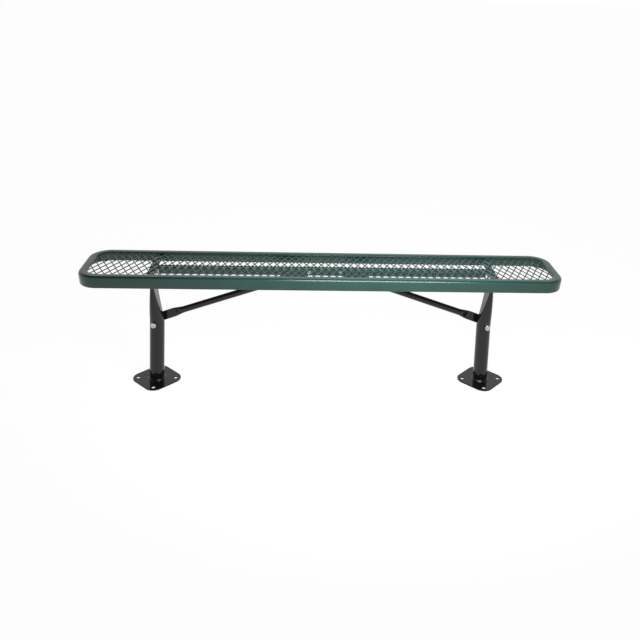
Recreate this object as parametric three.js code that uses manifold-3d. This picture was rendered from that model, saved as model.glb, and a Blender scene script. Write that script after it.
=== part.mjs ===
// Backless park bench, 6 ft (1829 mm) long: an expanded-metal seat in a formed steel rim, carried by two
// pipe legs on surface-mount foot plates and stiffened by two diagonal braces. All joints are bolted or
// welded.
//
// Units are millimetres. +X runs along the seat, -Y faces the front, +Z is up.
// The origin is on the ground under the middle of the seat. "side" is -1 for the left and +1 for the right.

import * as THREE from 'three';
import { mergeVertices } from 'three/addons/utils/BufferGeometryUtils.js';
import ManifoldModule from 'manifold-3d';

// ---------------------------------------------------------------- driving dimensions

const GAP = 0.3; // clearance left between two touching pieces

const SEAT_LENGTH = 1829;
const SEAT_DEPTH = 281;
const SEAT_HEIGHT = 472;
const SEAT_CORNER_RADIUS = 78;

const RIM = {
  height: 45.5, // skirt, from the seat's top to the skirt's lower edge
  taper: 4.5, // how far the skirt leans inwards at its lower edge
  thickness: 2.6,
  edgeRadius: 10, // rolled outer top edge
  flangeFlat: 27, // where the level part of the top flange ends, measured from the outer edge
  flangeWidth: 33,
  lipDrop: 1.5, // how far the flange's inner lip dips
  cornerSteps: 8,
};

const MESH = {
  thickness: 3.4,
  inset: 14, // sheet's edge, measured inwards from the seat's outer edge
  border: 6, // solid strip left around the sheet
  shortPitch: 28.6, // diamond pitch along X
  longPitch: 57.2, // diamond pitch along Y
  rowShift: 17.5, // how far the middle row of diamonds sits behind the middle of the seat
  strand: 4.4,
};

// Steel angles under the seat, sizes over their coating: an even one along it and two uneven ones across it.
const CENTER_ANGLE = { level: 34.8, upright: 34.8, thickness: 4.8 };
const CROSS_ANGLE = { level: 28.6, upright: 34.8, thickness: 4.8 };
const CROSS_ANGLE_INSET = 13.5; // cross angle's end, measured inwards from the seat's outer edge

const LEG = {
  axisX: 639.5, // distance of each leg's lower tube axis from the middle of the bench
  radius: 28,
  wall: 3.2,
  pressedThickness: 8, // the pressed top end, both walls together
  pressedInset: 8.5, // how far the pressed end's outer face stands in from the tube's outer side
  pressStart: 235, // height where the tube starts to narrow
  pressEnd: 410, // height where it is fully flat
  top: 456,
  segments: 24,
};

const FOOT = { side: 152.4, thickness: 4.8, cornerRadius: 40, holeSpacing: 101.6, holeRadius: 7.15 };
const WELD = { size: 6, crown: 0.8 };

const BRACE = {
  radius: 12.5,
  wall: 2.1,
  pressedThickness: 5,
  lowerFlat: 68, // flat zone beyond the lower bolt
  upperFlat: 100, // the same at the upper bolt, long enough to pass the long angle
  taperLength: 46, // from flat to round
  lower: { x: 648, y: 32.1, z: 235 }, // centre of the lower bolt hole
  upper: { x: 61, y: 8.1, z: 446 }, // centre of the upper bolt hole
  segments: 16,
};

// Inch hardware. acrossFlats is shared by the head and the nut.
const HALF_INCH = {
  radius: 6.35,
  acrossFlats: 19.05,
  head: 7.9,
  nut: 11.1,
  washerRadius: 13.5,
  washer: 2.4,
};
const THREE_EIGHTHS = {
  radius: 4.76,
  acrossFlats: 14.3,
  head: 6.2,
  nut: 8.3,
  washerRadius: 10.3,
  washer: 1.6,
};
const HOLE_CLEARANCE = 0.4; // hole radius minus bolt radius
const THREAD_STANDOUT = 4; // bolt end beyond its nut
const HARDWARE_SEGMENTS = 12;

const LEG_TOP_BOLT = { y: 20, z: 441 };
const LEG_FRONT = 29.3; // half the leg's width at the lower brace bolt, where pressing has begun to widen it

// ---------------------------------------------------------------- dimensions that follow

const LEG_PRESSED_FACE = LEG.axisX + LEG.radius - LEG.pressedInset; // outer face of the pressed end
const MESH_TOP = SEAT_HEIGHT - RIM.lipDrop - RIM.thickness - 2 * GAP;
const MESH_BOTTOM = MESH_TOP - MESH.thickness;
const ANGLE_TOP = MESH_BOTTOM - GAP;
const CROSS_ANGLE_FACE = LEG_PRESSED_FACE + GAP; // inner face of the flange that the leg is bolted to
const CROSS_ANGLE_BACK = CROSS_ANGLE_FACE + CROSS_ANGLE.thickness;
const CROSS_ANGLE_LENGTH = SEAT_DEPTH - 2 * CROSS_ANGLE_INSET;
const CENTER_ANGLE_LENGTH = 2 * (CROSS_ANGLE_BACK - CROSS_ANGLE.level - GAP);
const CENTER_ANGLE_BACK = BRACE.upper.y - BRACE.pressedThickness / 2 - GAP;
const CENTER_ANGLE_FRONT = CENTER_ANGLE_BACK - CENTER_ANGLE.thickness; // where the upper bolt heads sit

// ---------------------------------------------------------------- materials

const COATING_GREEN = { color: 0x123a2f, roughness: 0.35, metalness: 0.0 };
const POWDER_BLACK = { color: 0x17181a, roughness: 0.3, metalness: 0.0 };
const ZINC = { color: 0xb9bcbf, roughness: 0.35, metalness: 1.0 };

function namedMesh(name, geometry, look) {
  const mesh = new THREE.Mesh(geometry, new THREE.MeshStandardMaterial(look));
  mesh.name = name;
  return mesh;
}

// ---------------------------------------------------------------- booleans

const wasm = await ManifoldModule();
wasm.setup();

function toSolid(geometry) {
  const bare = geometry.clone();
  bare.deleteAttribute('normal');
  bare.deleteAttribute('uv');
  const merged = mergeVertices(bare);
  return new wasm.Manifold(new wasm.Mesh({
    numProp: 3,
    vertProperties: new Float32Array(merged.attributes.position.array),
    triVerts: new Uint32Array(merged.index.array),
  }));
}

function toGeometry(solid) {
  const mesh = solid.getMesh();
  const geometry = new THREE.BufferGeometry();
  geometry.setAttribute('position', new THREE.BufferAttribute(new Float32Array(mesh.vertProperties), 3));
  geometry.setIndex(new THREE.BufferAttribute(new Uint32Array(mesh.triVerts), 1));
  geometry.computeVertexNormals();
  return geometry;
}

function cut(geometry, cutters) {
  let solid = toSolid(geometry);
  for (const cutter of cutters) {
    solid = solid.subtract(toSolid(cutter));
  }
  return toGeometry(solid);
}

// ---------------------------------------------------------------- shared shapes

function roundedRectangle(length, depth, radius) {
  const x = length / 2 - radius;
  const y = depth / 2 - radius;
  const shape = new THREE.Shape();
  shape.absarc(x, y, radius, 0, Math.PI / 2);
  shape.absarc(-x, y, radius, Math.PI / 2, Math.PI);
  shape.absarc(-x, -y, radius, Math.PI, 1.5 * Math.PI);
  shape.absarc(x, -y, radius, 1.5 * Math.PI, 2 * Math.PI);
  return shape;
}

function circleHole(x, y, radius) {
  return new THREE.Path().absarc(x, y, radius, 0, 2 * Math.PI, true);
}

function extruded(shape, depth, curveSegments = 8) {
  return new THREE.ExtrudeGeometry(shape, { depth, bevelEnabled: false, curveSegments });
}

// A closed profile of [radius, height] points, turned about the Z axis. It runs anticlockwise.
function turned(profile, segments, startAngle = 0) {
  const points = [...profile, profile[0]].map(([radius, height]) => new THREE.Vector2(radius, height));
  const geometry = new THREE.LatheGeometry(points, segments, startAngle);
  geometry.rotateX(Math.PI / 2);
  return geometry;
}

function cylinderAlongY(radius, length, x, y, z) {
  const geometry = new THREE.CylinderGeometry(radius, radius, length, HARDWARE_SEGMENTS);
  geometry.translate(x, y, z);
  return geometry;
}

function cylinderAlongX(radius, length, x, y, z) {
  const geometry = new THREE.CylinderGeometry(radius, radius, length, HARDWARE_SEGMENTS);
  geometry.rotateZ(Math.PI / 2);
  geometry.translate(x, y, z);
  return geometry;
}

// A straight tube along Z between the first and last height, with a ring of vertices at each height.
function straightTube(radius, wall, heights, segments) {
  const outside = heights.map((height) => [radius, height]);
  const inside = heights.map((height) => [radius - wall, height]).reverse();
  return turned([...outside, ...inside], segments);
}

// Presses a tube along Z flat, keeping its girth. thicknessAt gives the pressed thickness, measured along X,
// for each height, and the section stays centred on the tube's axis.
function pressFlat(geometry, radius, wall, thicknessAt) {
  const position = geometry.attributes.position;
  for (let i = 0; i < position.count; i += 1) {
    const x = position.getX(i);
    const y = position.getY(i);
    const endRadius = thicknessAt(position.getZ(i)) / 2;
    const halfFlat = (Math.PI * (radius - endRadius)) / 2;
    const isInside = Math.hypot(x, y) < radius - wall / 2;
    const wallRadius = endRadius - (isInside ? wall : 0);
    const girth = Math.atan2(Math.abs(y), Math.abs(x)) * radius;
    const turn = Math.max(girth - halfFlat, 0) / endRadius;
    const pressedX = wallRadius * Math.cos(turn);
    const pressedY = Math.min(girth, halfFlat) + wallRadius * Math.sin(turn);
    position.setXY(i, Math.sign(x) * pressedX, Math.sign(y) * pressedY);
  }
}

// ---------------------------------------------------------------- hardware

// A hex bolt whose head sits on z = 0 and whose shank points down.
function hexBolt(size, gripLength) {
  const headRadius = size.acrossFlats / Math.sqrt(3);
  const head = new THREE.CylinderGeometry(headRadius, headRadius, size.head, 6);
  head.rotateX(Math.PI / 2);
  head.translate(0, 0, size.head / 2);
  const length = gripLength + THREAD_STANDOUT;
  const shank = new THREE.CylinderGeometry(size.radius, size.radius, length + 1, HARDWARE_SEGMENTS);
  shank.rotateX(Math.PI / 2);
  shank.translate(0, 0, (1 - length) / 2);
  return toGeometry(toSolid(head).add(toSolid(shank)));
}

function hexNut(size) {
  const shape = new THREE.Shape();
  const cornerRadius = size.acrossFlats / Math.sqrt(3);
  for (let i = 0; i < 6; i += 1) {
    const angle = (i * Math.PI) / 3;
    shape.lineTo(cornerRadius * Math.cos(angle), cornerRadius * Math.sin(angle));
  }
  shape.curves.shift();
  shape.holes.push(circleHole(0, 0, size.radius + GAP));
  return extruded(shape, size.nut, HARDWARE_SEGMENTS / 2);
}

function washer(size) {
  const shape = new THREE.Shape().absarc(0, 0, size.washerRadius, 0, 2 * Math.PI);
  shape.holes.push(circleHole(0, 0, size.radius + GAP));
  return extruded(shape, size.washer, HARDWARE_SEGMENTS / 2);
}

// One bolted joint as three pieces along a group's Z axis: the head rests on z = 0, the clamped pieces
// are as thick as "clamped", and the washer and nut follow below.
function boltedJoint(name, size, clamped) {
  const group = new THREE.Group();
  const washerFace = clamped + GAP;
  const nutFace = washerFace + size.washer + GAP;
  const bolt = namedMesh(`${name}_bolt`, hexBolt(size, nutFace + size.nut), ZINC);
  bolt.position.z = GAP;
  const ring = namedMesh(`${name}_washer`, washer(size), ZINC);
  ring.position.z = -washerFace - size.washer;
  const nut = namedMesh(`${name}_nut`, hexNut(size), ZINC);
  nut.position.z = -nutFace - size.nut;
  group.add(bolt, ring, nut);
  return group;
}

// ---------------------------------------------------------------- seat

// The rim's section, as [distance inwards from the outer edge, height above the seat's top].
function rimSection() {
  const { height, taper, thickness, edgeRadius, flangeFlat, flangeWidth, lipDrop } = RIM;
  const arc = (radius, turns) => turns.map((turn) => [
    edgeRadius - radius * Math.cos((turn * Math.PI) / 2),
    -edgeRadius + radius * Math.sin((turn * Math.PI) / 2),
  ]);
  return [
    [taper, -height],
    ...arc(edgeRadius, [0, 0.33, 0.67, 1]),
    [flangeFlat, 0],
    [flangeWidth, -lipDrop],
    [flangeWidth, -lipDrop - thickness],
    [flangeFlat, -thickness],
    ...arc(edgeRadius - thickness, [1, 0.67, 0.33, 0]),
    [taper + thickness, -height],
  ];
}

// The section is turned as a full ring of the corner radius, then its four quarters are moved out to the
// seat's corners. The ring has no vertices on the axes, so the long and short sides open up between them.
function seatRim() {
  const segments = 4 * RIM.cornerSteps;
  const halfStep = Math.PI / segments;
  const profile = rimSection().map(([inwards, height]) => [
    (SEAT_CORNER_RADIUS - inwards) / Math.cos(halfStep),
    SEAT_HEIGHT + height,
  ]);
  const geometry = turned(profile, segments, halfStep);
  const position = geometry.attributes.position;
  for (let i = 0; i < position.count; i += 1) {
    const x = position.getX(i);
    const y = position.getY(i);
    const outX = x + Math.sign(x) * (SEAT_LENGTH / 2 - SEAT_CORNER_RADIUS);
    const outY = y + Math.sign(y) * (SEAT_DEPTH / 2 - SEAT_CORNER_RADIUS);
    position.setXY(i, outX, outY);
  }
  return namedMesh('seat_rim', geometry, COATING_GREEN);
}

function isInsideRoundedRectangle(x, y, length, depth, radius) {
  const outX = Math.max(Math.abs(x) - length / 2 + radius, 0);
  const outY = Math.max(Math.abs(y) - depth / 2 + radius, 0);
  return Math.hypot(outX, outY) <= radius;
}

function diamondOpening(centerX, centerY) {
  const halfX = MESH.shortPitch / 2;
  const halfY = MESH.longPitch / 2;
  const inRadius = (halfX * halfY) / Math.hypot(halfX, halfY);
  const scale = (inRadius - MESH.strand / 2) / inRadius;
  return [
    [centerX + halfX * scale, centerY],
    [centerX, centerY - halfY * scale],
    [centerX - halfX * scale, centerY],
    [centerX, centerY + halfY * scale],
  ];
}

// Expanded metal: staggered columns of diamond openings, their long way across the seat.
function seatMesh() {
  const length = SEAT_LENGTH - 2 * MESH.inset;
  const depth = SEAT_DEPTH - 2 * MESH.inset;
  const radius = SEAT_CORNER_RADIUS - MESH.inset;
  const shape = roundedRectangle(length, depth, radius);
  const isInside = ([x, y]) => isInsideRoundedRectangle(
    x, y, length - 2 * MESH.border, depth - 2 * MESH.border, radius - MESH.border);
  const columns = Math.ceil(length / MESH.shortPitch);
  const rows = Math.ceil(depth / MESH.longPitch) + 1;
  for (let column = -columns; column <= columns; column += 1) {
    for (let row = -rows; row <= rows; row += 1) {
      if ((column + row) % 2 === 0) {
        const x = (column * MESH.shortPitch) / 2;
        const y = MESH.rowShift + (row * MESH.longPitch) / 2;
        const corners = diamondOpening(x, y);
        if (corners.every(isInside)) {
          shape.holes.push(new THREE.Path(corners.map(([x, y]) => new THREE.Vector2(x, y))));
        }
      }
    }
  }
  const mesh = namedMesh('seat_mesh', extruded(shape, MESH.thickness), COATING_GREEN);
  mesh.position.z = MESH_BOTTOM;
  return mesh;
}

// An L section with its corner at the origin: one leg along +X, the other down.
function angleSection({ level, upright, thickness }) {
  const corners = [
    [0, 0],
    [0, -upright],
    [thickness, -upright],
    [thickness, -thickness],
    [level, -thickness],
    [level, 0],
  ];
  return new THREE.Shape(corners.map(([x, y]) => new THREE.Vector2(x, y)));
}

// An angle bar along Y, centred on it: level leg along +X at the top, upright leg at x = 0.
function angleBar(size, length) {
  const geometry = extruded(angleSection(size), length);
  geometry.rotateX(Math.PI / 2);
  geometry.translate(0, length / 2, 0);
  return geometry;
}

// Long angle under the middle of the seat. The braces are bolted to its upright leg.
function centerAngle() {
  const bar = angleBar(CENTER_ANGLE, CENTER_ANGLE_LENGTH);
  bar.rotateZ(-Math.PI / 2);
  bar.translate(0, CENTER_ANGLE_BACK, ANGLE_TOP);
  const radius = THREE_EIGHTHS.radius + HOLE_CLEARANCE;
  const reach = 3 * CENTER_ANGLE.thickness;
  const holes = [-1, 1].map((side) => (
    cylinderAlongY(radius, reach, side * BRACE.upper.x, CENTER_ANGLE_BACK, BRACE.upper.z)));
  return namedMesh('center_angle', cut(bar, holes), COATING_GREEN);
}

// Cross angle at one leg. The leg's pressed top is bolted to its upright leg, on the outer side.
function crossAngle(side, name) {
  const bar = angleBar(CROSS_ANGLE, CROSS_ANGLE_LENGTH);
  if (side > 0) {
    bar.rotateZ(Math.PI);
  }
  bar.translate(side * CROSS_ANGLE_BACK, 0, ANGLE_TOP);
  const radius = THREE_EIGHTHS.radius + HOLE_CLEARANCE;
  const reach = 3 * CROSS_ANGLE.thickness;
  const holes = [-1, 1].map((end) => (
    cylinderAlongX(radius, reach, side * CROSS_ANGLE_BACK, end * LEG_TOP_BOLT.y, LEG_TOP_BOLT.z)));
  return namedMesh(`${name}_cross_angle`, cut(bar, holes), COATING_GREEN);
}

// ---------------------------------------------------------------- legs

// 0 where the leg is round, 1 where it is fully flat.
function legPress(height) {
  return THREE.MathUtils.clamp((height - LEG.pressStart) / (LEG.pressEnd - LEG.pressStart), 0, 1);
}

function legThickness(height) {
  return THREE.MathUtils.lerp(2 * LEG.radius, LEG.pressedThickness, legPress(height));
}

// A pipe with its top pressed flat across the seat, nearer to the pipe's outer side. Coordinates are
// relative to the pipe's axis on the ground.
function legTube(side, name) {
  const steps = 5;
  const heights = [FOOT.thickness + GAP];
  for (let i = 0; i <= steps; i += 1) {
    heights.push(THREE.MathUtils.lerp(LEG.pressStart, LEG.pressEnd, i / steps));
  }
  heights.push(LEG.top);
  const geometry = straightTube(LEG.radius, LEG.wall, heights, LEG.segments);
  pressFlat(geometry, LEG.radius, LEG.wall, legThickness);
  const position = geometry.attributes.position;
  for (let i = 0; i < position.count; i += 1) {
    const height = position.getZ(i);
    const outerFace = LEG.radius - LEG.pressedInset * legPress(height) ** 2;
    position.setX(i, position.getX(i) + side * (outerFace - legThickness(height) / 2));
  }
  const boltX = side * (BRACE.lower.x - LEG.axisX);
  const topHoleRadius = THREE_EIGHTHS.radius + HOLE_CLEARANCE;
  const holes = [
    cylinderAlongY(HALF_INCH.radius + HOLE_CLEARANCE, 4 * LEG.radius, boltX, 0, BRACE.lower.z),
    cylinderAlongX(topHoleRadius, 4 * LEG.radius, 0, LEG_TOP_BOLT.y, LEG_TOP_BOLT.z),
    cylinderAlongX(topHoleRadius, 4 * LEG.radius, 0, -LEG_TOP_BOLT.y, LEG_TOP_BOLT.z),
  ];
  return namedMesh(`${name}_leg_tube`, cut(geometry, holes), POWDER_BLACK);
}

// A 6 in square plate turned 45 degrees, with an anchor hole near each corner.
function footPlate(name) {
  const shape = roundedRectangle(FOOT.side, FOOT.side, FOOT.cornerRadius);
  for (const x of [-1, 1]) {
    for (const y of [-1, 1]) {
      shape.holes.push(circleHole((x * FOOT.holeSpacing) / 2, (y * FOOT.holeSpacing) / 2, FOOT.holeRadius));
    }
  }
  const mesh = namedMesh(`${name}_foot_plate`, extruded(shape, FOOT.thickness), POWDER_BLACK);
  mesh.rotation.z = Math.PI / 4;
  return mesh;
}

function footWeld(name) {
  const inner = LEG.radius + GAP;
  const base = FOOT.thickness + GAP;
  const middle = WELD.size / 2 + WELD.crown;
  const profile = [
    [inner, base],
    [inner + WELD.size, base],
    [inner + middle, base + middle],
    [inner, base + WELD.size],
  ];
  return namedMesh(`${name}_foot_weld`, turned(profile, LEG.segments), POWDER_BLACK);
}

// ---------------------------------------------------------------- braces

const BRACE_RUN = BRACE.lower.x - BRACE.upper.x;
const BRACE_RISE = BRACE.upper.z - BRACE.lower.z;
const BRACE_LENGTH = Math.hypot(BRACE_RUN, BRACE_RISE);
const BRACE_LEAN = Math.atan2(BRACE_RUN, BRACE_RISE);
const END_FLAT = 0.01; // half of the short straight left between an end's two rounded corners

function braceThickness(along) {
  const pastFlat = Math.min(along - BRACE.lowerFlat, BRACE_LENGTH - along - BRACE.upperFlat);
  const roundness = THREE.MathUtils.clamp(pastFlat / BRACE.taperLength, 0, 1);
  return THREE.MathUtils.lerp(BRACE.pressedThickness, 2 * BRACE.radius, roundness);
}

// Heights of the rings along one pressed end, from the first one to where the tube is round.
function pressedEndHeights(first, flat) {
  const taperSteps = 3;
  const heights = [first];
  for (let i = 0; i <= taperSteps; i += 1) {
    heights.push(flat + (i * BRACE.taperLength) / taperSteps);
  }
  return heights;
}

// A tube with both ends pressed flat and rounded. Along Z it starts at the lower bolt hole, its flats face
// Y, and its upper end is set forward to meet the long angle.
function brace(side, name) {
  const { radius, wall, pressedThickness, lowerFlat, upperFlat } = BRACE;
  const halfWidth = (Math.PI * (radius - pressedThickness / 2)) / 2 + pressedThickness / 2;
  const lowerEnd = pressedEndHeights(-halfWidth, lowerFlat);
  const upperEnd = pressedEndHeights(-halfWidth, upperFlat).map((along) => BRACE_LENGTH - along).reverse();
  const geometry = straightTube(radius, wall, [...lowerEnd, ...upperEnd], BRACE.segments);
  pressFlat(geometry, radius, wall, braceThickness);
  geometry.rotateZ(Math.PI / 2);
  const setForward = BRACE.upper.y - BRACE.lower.y;
  const position = geometry.attributes.position;
  for (let i = 0; i < position.count; i += 1) {
    const share = (position.getZ(i) - lowerFlat) / (BRACE_LENGTH - lowerFlat - upperFlat);
    position.setY(i, position.getY(i) + setForward * THREE.MathUtils.clamp(share, 0, 1));
  }
  const reach = 8 * radius; // past the tube on both sides
  const shape = roundedRectangle(2 * halfWidth, BRACE_LENGTH + 2 * halfWidth, halfWidth - END_FLAT);
  const outline = extruded(shape, reach, 6);
  outline.rotateX(Math.PI / 2);
  outline.translate(0, reach / 2, BRACE_LENGTH / 2);
  let solid = toSolid(geometry).intersect(toSolid(outline));
  const lowerHole = cylinderAlongY(HALF_INCH.radius + HOLE_CLEARANCE, reach, 0, 0, 0);
  const upperHole = cylinderAlongY(THREE_EIGHTHS.radius + HOLE_CLEARANCE, reach, 0, 0, BRACE_LENGTH);
  solid = solid.subtract(toSolid(lowerHole)).subtract(toSolid(upperHole));
  const mesh = namedMesh(`${name}_brace`, toGeometry(solid), POWDER_BLACK);
  mesh.position.set(side * BRACE.lower.x, BRACE.lower.y, BRACE.lower.z);
  mesh.rotation.y = -side * BRACE_LEAN;
  return mesh;
}

// ---------------------------------------------------------------- bolted joints

// Through the pipe and the brace's lower end, head at the front.
function braceLowerJoint(side, name) {
  const clamped = LEG_FRONT + BRACE.lower.y + BRACE.pressedThickness / 2;
  const joint = boltedJoint(`${name}_brace_lower`, HALF_INCH, clamped);
  joint.rotation.x = Math.PI / 2;
  joint.position.set(side * BRACE.lower.x, -LEG_FRONT, BRACE.lower.z);
  return joint;
}

// Through the long angle and the brace's upper end, head at the front.
function braceUpperJoint(side, name) {
  const clamped = BRACE.upper.y + BRACE.pressedThickness / 2 - CENTER_ANGLE_FRONT;
  const joint = boltedJoint(`${name}_brace_upper`, THREE_EIGHTHS, clamped);
  joint.rotation.x = Math.PI / 2;
  joint.position.set(side * BRACE.upper.x, CENTER_ANGLE_FRONT, BRACE.upper.z);
  return joint;
}

// Through the cross angle and the leg's pressed top, head at the outer side.
function legTopJoint(side, name, end) {
  const clamped = CROSS_ANGLE_BACK - LEG_PRESSED_FACE + LEG.pressedThickness;
  const joint = boltedJoint(`${name}_leg_top_${end < 0 ? 'front' : 'back'}`, THREE_EIGHTHS, clamped);
  joint.rotation.y = (side * Math.PI) / 2;
  joint.position.set(side * CROSS_ANGLE_BACK, end * LEG_TOP_BOLT.y, LEG_TOP_BOLT.z);
  return joint;
}

// ---------------------------------------------------------------- the bench

function seat() {
  const group = new THREE.Group();
  group.add(seatRim(), seatMesh(), centerAngle(), crossAngle(-1, 'left'), crossAngle(1, 'right'));
  return group;
}

function support(side, name) {
  const group = new THREE.Group();
  const foot = new THREE.Group();
  foot.position.x = side * LEG.axisX;
  foot.add(legTube(side, name), footPlate(name), footWeld(name));
  group.add(foot, brace(side, name), braceLowerJoint(side, name), braceUpperJoint(side, name));
  group.add(legTopJoint(side, name, -1), legTopJoint(side, name, 1));
  return group;
}

const bench = new THREE.Group();
bench.add(seat(), support(-1, 'left'), support(1, 'right'));

export default bench;
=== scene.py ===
"""Looks of the backless bench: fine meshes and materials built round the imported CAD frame, in metres.

The CAD frame gives each piece's place and outer size. This script rounds, coats and details those shapes: the
rolled rim, the stretched diamond mesh, the pressed pipes, the welds and the threaded hardware.
"""

import math

import bmesh
import bpy
import numpy as np
from mathutils import Matrix, Vector


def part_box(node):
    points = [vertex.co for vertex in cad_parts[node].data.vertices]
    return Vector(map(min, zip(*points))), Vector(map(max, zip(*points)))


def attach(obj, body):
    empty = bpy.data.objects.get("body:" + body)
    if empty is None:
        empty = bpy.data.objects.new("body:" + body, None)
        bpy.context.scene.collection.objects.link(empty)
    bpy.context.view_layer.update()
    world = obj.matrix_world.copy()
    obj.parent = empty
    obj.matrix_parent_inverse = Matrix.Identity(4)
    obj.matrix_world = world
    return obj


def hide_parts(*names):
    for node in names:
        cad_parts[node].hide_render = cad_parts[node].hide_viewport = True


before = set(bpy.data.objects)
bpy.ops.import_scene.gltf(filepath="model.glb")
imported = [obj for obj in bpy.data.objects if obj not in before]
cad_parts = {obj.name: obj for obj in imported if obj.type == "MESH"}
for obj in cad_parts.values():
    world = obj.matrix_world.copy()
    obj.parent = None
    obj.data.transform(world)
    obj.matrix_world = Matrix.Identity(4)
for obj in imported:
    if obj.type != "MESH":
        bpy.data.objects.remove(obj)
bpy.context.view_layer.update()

MM = 0.001
TURN = 2 * math.pi
DRILL_REACH = 60 * MM
SOFTEN_ANGLE = 50.0


# ---------------------------------------------------------------- meshes from rings

def loft(rings, loop=False):
    """Vertices and faces that join rings of equal length. The rings close on themselves. With loop the last
    ring joins the first, otherwise both ends are capped."""
    count = len(rings[0])
    vertices = [tuple(point) for ring in rings for point in ring]
    faces = []
    pairs = len(rings) if loop else len(rings) - 1
    for i in range(pairs):
        here = i * count
        there = ((i + 1) % len(rings)) * count
        for k in range(count):
            after = (k + 1) % count
            faces.append((here + k, here + after, there + after, there + k))
    if not loop:
        faces.append(tuple(reversed(range(count))))
        faces.append(tuple(range((len(rings) - 1) * count, len(rings) * count)))
    return vertices, faces


def mesh_object(name, vertices, faces, smooth_angle=35.0):
    """A closed mesh object with outward normals, smooth where its faces meet at less than smooth_angle."""
    mesh = bpy.data.meshes.new(name)
    mesh.from_pydata([tuple(v) for v in vertices], [], faces)
    work = bmesh.new()
    work.from_mesh(mesh)
    bmesh.ops.recalc_face_normals(work, faces=work.faces)
    work.to_mesh(mesh)
    work.free()
    piece = bpy.data.objects.new(name, mesh)
    bpy.context.scene.collection.objects.link(piece)
    shade(piece, smooth_angle)
    return piece


def shade(piece, smooth_angle):
    piece.data.shade_smooth()
    piece.data.set_sharp_from_angle(angle=math.radians(smooth_angle))


def apply_modifiers(piece):
    """Makes the modifiers' result the piece's own mesh."""
    bpy.context.view_layer.update()
    graph = bpy.context.evaluated_depsgraph_get()
    result = bpy.data.meshes.new_from_object(piece.evaluated_get(graph))
    piece.modifiers.clear()
    piece.data = result


def drill(piece, cutters):
    """Cuts closed cutter objects out of the piece and removes them."""
    for cutter in cutters:
        modifier = piece.modifiers.new("drill", "BOOLEAN")
        modifier.operation = "DIFFERENCE"
        modifier.solver = "EXACT"
        modifier.object = cutter
    apply_modifiers(piece)
    for cutter in cutters:
        bpy.data.objects.remove(cutter)


def soften(piece, width, segments=2):
    """Rounds the edges where faces meet at more than SOFTEN_ANGLE, in degrees."""
    modifier = piece.modifiers.new("soften", "BEVEL")
    modifier.width = width
    modifier.segments = segments
    modifier.limit_method = "ANGLE"
    modifier.angle_limit = math.radians(SOFTEN_ANGLE)
    apply_modifiers(piece)
    shade(piece, SOFTEN_ANGLE)
    even_out(piece)


def even_out(piece):
    """Makes wide faces shade flat and leaves the bending of the light to the narrow faces between them."""
    modifier = piece.modifiers.new("even", "WEIGHTED_NORMAL")
    modifier.weight = 100
    modifier.keep_sharp = True
    apply_modifiers(piece)


def circle(radius, count):
    return [(radius * math.cos(TURN * k / count), radius * math.sin(TURN * k / count)) for k in range(count)]


def rod(start, end, radius, count):
    """A plain closed cylinder from start to end, used as a drill."""
    start, end = Vector(start), Vector(end)
    axis = (end - start).normalized()
    side = axis.orthogonal().normalized()
    other = axis.cross(side)
    rings = [[at + side * x + other * y for x, y in circle(radius, count)] for at in (start, end)]
    return mesh_object("drill", *loft(rings))


def place(piece, node, material):
    """The finished piece stands for a CAD node, rides on the bench and takes its material."""
    piece.data.materials.clear()
    piece.data.materials.append(material)
    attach(piece, "root")
    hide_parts(node)
    return piece


def box_of(node):
    """The low corner, high corner and middle of a CAD node's box."""
    low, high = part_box(node)
    return low, high, (low + high) / 2


# ---------------------------------------------------------------- materials

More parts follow.
